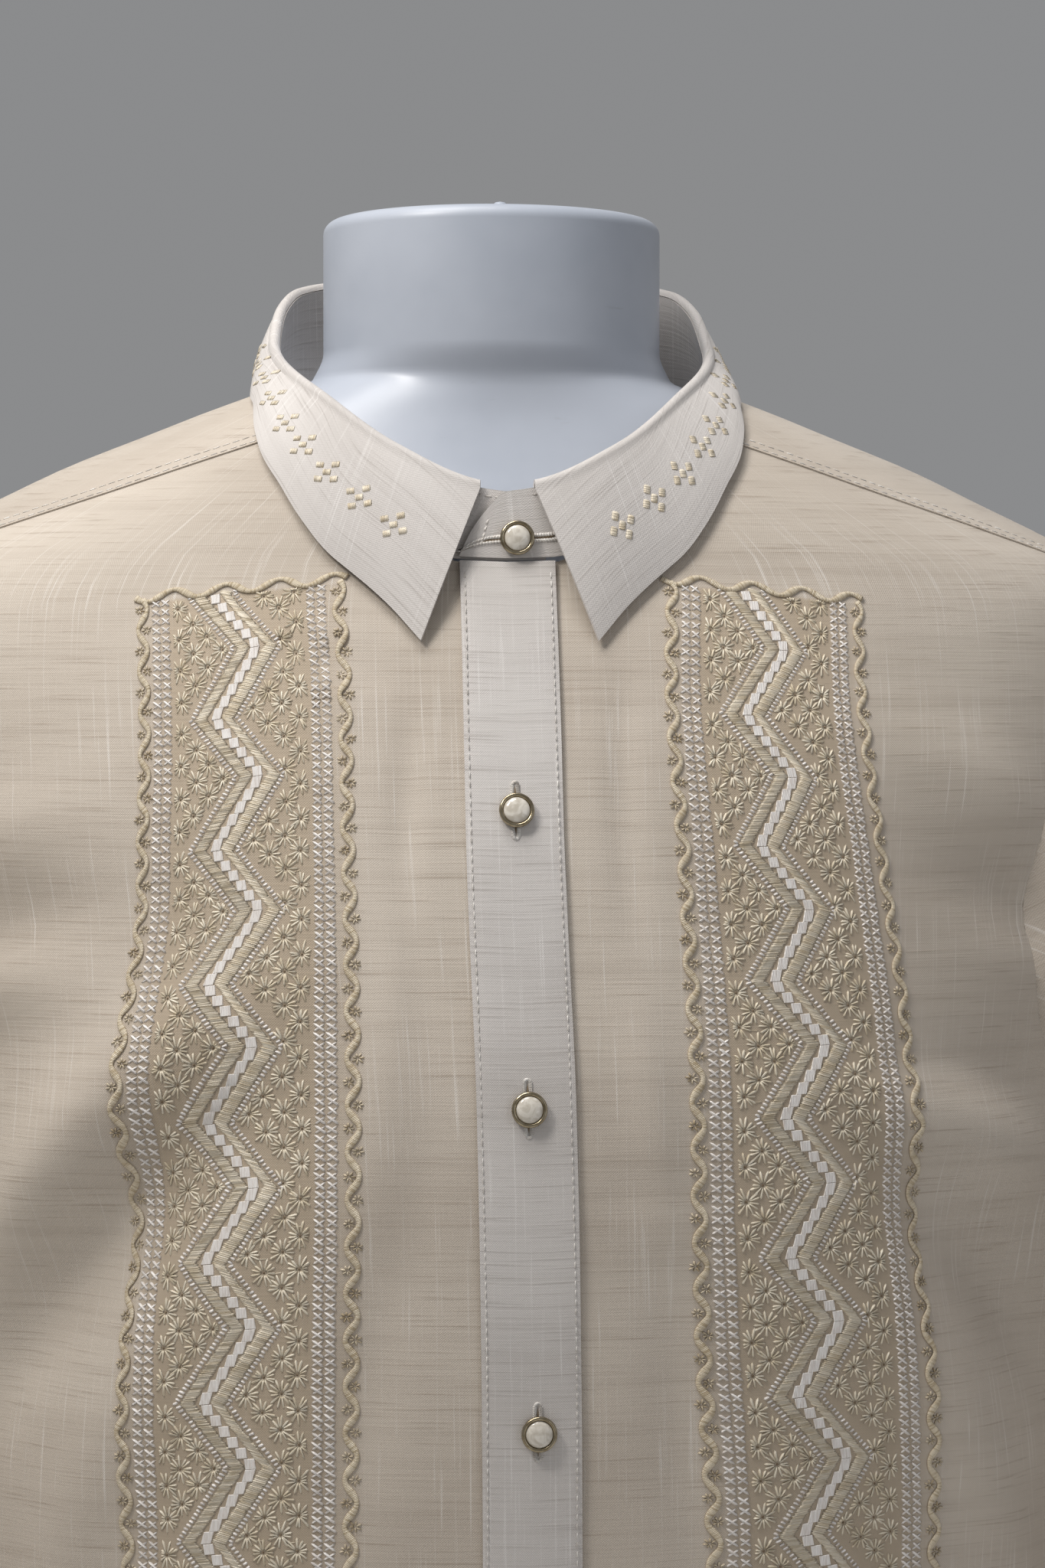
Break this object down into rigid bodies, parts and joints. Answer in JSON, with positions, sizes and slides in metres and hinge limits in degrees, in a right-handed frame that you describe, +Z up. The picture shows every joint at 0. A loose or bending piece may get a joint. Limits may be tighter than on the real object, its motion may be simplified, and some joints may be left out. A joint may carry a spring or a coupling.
{
  "type": "barong tagalog shirt on a limbless torso form",
  "caption": "Sheer cream barong shirt with embroidered front bands, pointed collar and long sleeves, buttoned on a white torso form.",
  "frame": {"origin": "bottom centre of the whole, on the floor plane; the form's flat base lies at z = 0", "axes": "+Z up, -Y out of the shirt's front, +X towards the wearer's left"},
  "size_m": [0.6712, 0.2683, 0.863],
  "materials": {
    "cloth": "semi-sheer plain weave with slubs",
    "layered": "two layers of the same cloth, pressed and stitched",
    "plastic": "white satin",
    "pearl": "milky pearl dome in a silvery rim"
  },
  "bodies": {
    "root": {"torso_form": "plastic", "front_left": "cloth", "front_right": "cloth", "back": "cloth", "yoke": "cloth", "sleeve_left": "cloth", "sleeve_right": "cloth", "placket": "layered", "collar_stand": "layered", "collar_fall": "layered", "cuff_left": "layered", "cuff_right": "layered", "button_collar": "pearl", "button_1": "pearl", "button_2": "pearl", "button_3": "pearl", "button_4": "pearl", "button_5": "pearl", "button_6": "pearl", "cuff_button_left": "pearl", "cuff_button_right": "pearl"}
  },
  "joints": []
}
